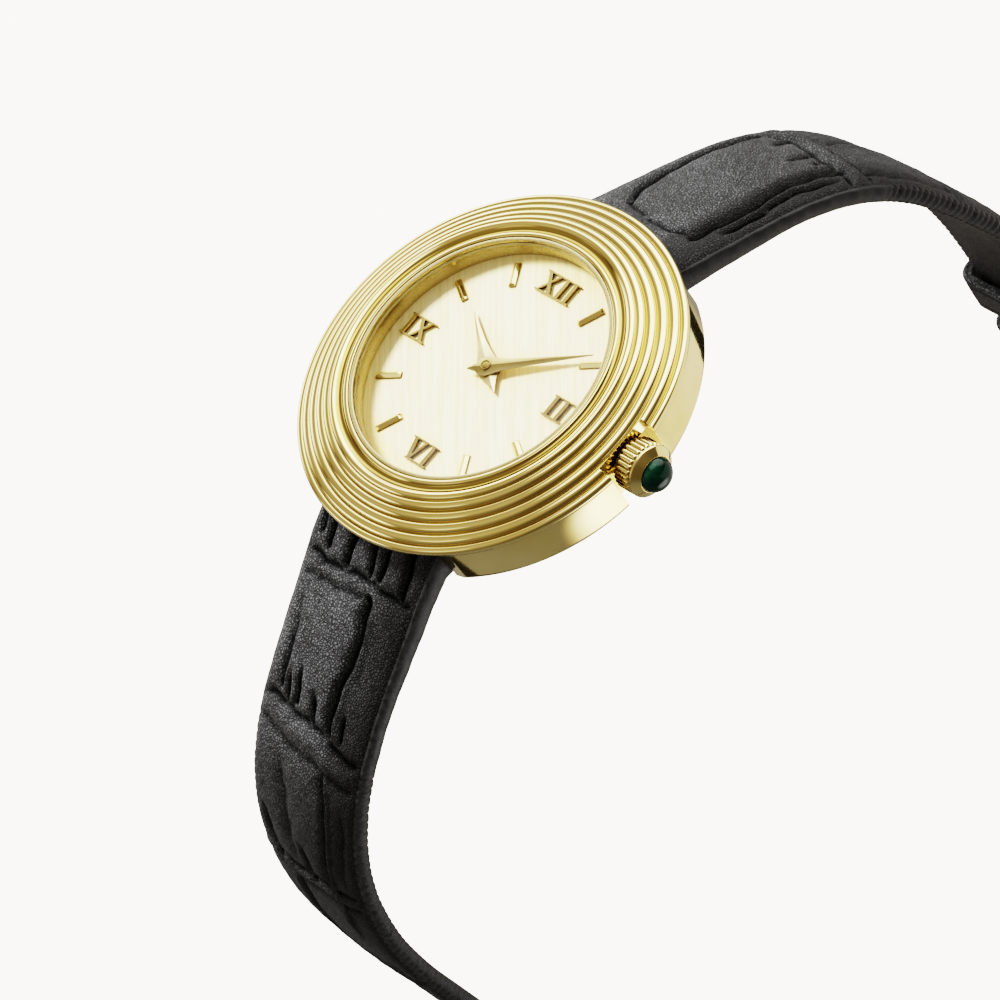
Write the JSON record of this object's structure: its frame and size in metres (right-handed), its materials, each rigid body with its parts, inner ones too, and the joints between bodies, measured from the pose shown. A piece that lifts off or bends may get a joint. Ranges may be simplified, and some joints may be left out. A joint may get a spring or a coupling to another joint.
{
  "type": "wristwatch",
  "caption": "Small round dress wristwatch with a stepped gold case, Roman quarter dial, cabochon crown and an open padded leather strap with a pin buckle.",
  "frame": {"origin": "centre of the flat outer face of the case back", "axes": "+Z out through the dial, +Y toward 12 o'clock, +X toward the crown at 3 o'clock"},
  "size_m": [0.0348, 0.1108, 0.0769],
  "materials": {
    "gold": "polished pale yellow gold",
    "gold_trim": "polished pale yellow gold, applied",
    "crystal": "clear mineral crystal",
    "gasket_white": "moulded nylon",
    "gasket_black": "moulded rubber",
    "steel": "brushed stainless steel",
    "brass": "rhodium-free movement brass",
    "dial_ivory": "ivory lacquer over fine straight brushing",
    "cabochon": "polished dark green cabochon",
    "ring_plastic": "moulded movement holder",
    "board": "circuit board laminate",
    "chip": "epoxy blob over the chip",
    "coil_copper": "enamelled copper winding",
    "strap_leather": "matt black embossed leather"
  },
  "bodies": {
    "case": {"case_middle": "gold", "bezel": "gold", "rehaut_ring": "gold", "crystal": "crystal", "crystal_gasket": "gasket_white", "case_back": "steel", "case_back_gasket": "gasket_black", "dial": "dial_ivory", "hour_marker_1": "gold_trim", "hour_marker_2": "gold_trim", "hour_marker_4": "gold_trim", "hour_marker_5": "gold_trim", "hour_marker_7": "gold_trim", "hour_marker_8": "gold_trim", "hour_marker_10": "gold_trim", "hour_marker_11": "gold_trim", "numeral_xii": "gold_trim", "numeral_iii": "gold_trim", "numeral_vi": "gold_trim", "numeral_ix": "gold_trim", "main_plate": "brass", "train_bridge": "brass", "bridge_screw_1": "steel", "bridge_screw_2": "steel", "battery": "steel", "battery_clamp": "steel", "coil": "coil_copper", "stator": "steel", "circuit_board": "board", "quartz_can": "steel", "ic_chip": "chip", "movement_ring": "ring_plastic", "crown_tube": "steel", "spring_bar_12": "steel", "spring_bar_6": "steel"},
    "minute_arbor": {"minute_hand": "gold_trim", "cannon_pinion": "steel", "center_wheel": "brass"},
    "hour_assembly": {"hour_hand": "gold_trim", "hour_wheel": "brass"},
    "minute_wheel_body": {"minute_wheel": "brass"},
    "third_wheel_body": {"third_wheel": "brass"},
    "intermediate_wheel_body": {"intermediate_wheel": "brass"},
    "rotor_body": {"rotor": "steel"},
    "clutch": {"clutch_wheel": "steel"},
    "crown_and_stem": {"crown": "gold", "crown_stone": "cabochon", "crown_gasket": "gasket_black", "stem": "steel"},
    "setting_lever_body": {"setting_lever": "steel"},
    "strap_12_half": {"strap_12": "strap_leather", "keeper_fixed": "strap_leather"},
    "strap_6_half": {"strap_6": "strap_leather"},
    "loose_keeper": {"keeper_free": "strap_leather"},
    "buckle": {"buckle_frame": "gold", "buckle_bar": "steel"},
    "tang": {"buckle_tang": "gold"}
  },
  "joints": [
    {"name": "minute_turn", "type": "hinge", "parent": "case", "child": "minute_arbor", "pos_m": [0, 0, 0.0032], "axis": [0, 0, -1], "continuous": true},
    {"name": "hour_turn", "type": "hinge", "parent": "case", "child": "hour_assembly", "pos_m": [0, 0, 0.0032], "axis": [0, 0, -1], "continuous": true},
    {"name": "minute_wheel_turn", "type": "hinge", "parent": "case", "child": "minute_wheel_body", "pos_m": [0.00164, 0.00115, 0.0032], "axis": [0, 0, -1], "continuous": true},
    {"name": "third_wheel_turn", "type": "hinge", "parent": "case", "child": "third_wheel_body", "pos_m": [-0.00158, 0.00273, 0.0032], "axis": [0, 0, -1], "continuous": true},
    {"name": "intermediate_wheel_turn", "type": "hinge", "parent": "case", "child": "intermediate_wheel_body", "pos_m": [-0.00383, 0.00191, 0.0032], "axis": [0, 0, -1], "continuous": true},
    {"name": "rotor_turn", "type": "hinge", "parent": "case", "child": "rotor_body", "pos_m": [-0.00449, 0.0001, 0.0032], "axis": [0, 0, -1], "continuous": true},
    {"name": "crown_turn", "type": "hinge", "parent": "case", "child": "clutch", "pos_m": [0.0052, 0, 0.003], "axis": [1, 0, 0], "continuous": true},
    {"name": "crown_pull", "type": "slide", "parent": "clutch", "child": "crown_and_stem", "axis": [1, 0, 0], "range_m": [0, 0.0008]},
    {"name": "setting_lever_swing", "type": "hinge", "parent": "case", "child": "setting_lever_body", "pos_m": [0.00657, 0.0022, 0.00323], "axis": [0, 0, 1], "range_deg": [-0.2, 24.5]},
    {"name": "strap_12_swing", "type": "hinge", "parent": "case", "child": "strap_12_half", "pos_m": [0, 0.013, 0.0021], "axis": [1, 0, 0], "range_deg": [-12, 30]},
    {"name": "strap_6_swing", "type": "hinge", "parent": "case", "child": "strap_6_half", "pos_m": [0, -0.013, 0.0021], "axis": [-1, 0, 0], "range_deg": [-12, 30]},
    {"name": "keeper_slide", "type": "slide", "parent": "strap_12_half", "child": "loose_keeper", "axis": [0, 0, 1], "range_m": [-0.0025, 0.006]},
    {"name": "buckle_swing", "type": "hinge", "parent": "strap_12_half", "child": "buckle", "pos_m": [0, 0.0415, -0.0545], "axis": [1, 0, 0], "range_deg": [-70, 35]},
    {"name": "tang_swing", "type": "hinge", "parent": "buckle", "child": "tang", "pos_m": [0, 0.0415, -0.0545], "axis": [1, 0, 0], "range_deg": [0, 85]}
  ],
  "couplings": [
    {"joint": "hour_turn", "follows": "minute_turn", "ratio": 0.083333},
    {"joint": "minute_wheel_turn", "follows": "minute_turn", "ratio": -0.33333},
    {"joint": "third_wheel_turn", "follows": "minute_turn", "ratio": -6},
    {"joint": "intermediate_wheel_turn", "follows": "minute_turn", "ratio": 30},
    {"joint": "rotor_turn", "follows": "minute_turn", "ratio": -90},
    {"joint": "setting_lever_swing", "follows": "crown_pull", "rad_per_m": 526.8}
  ]
}
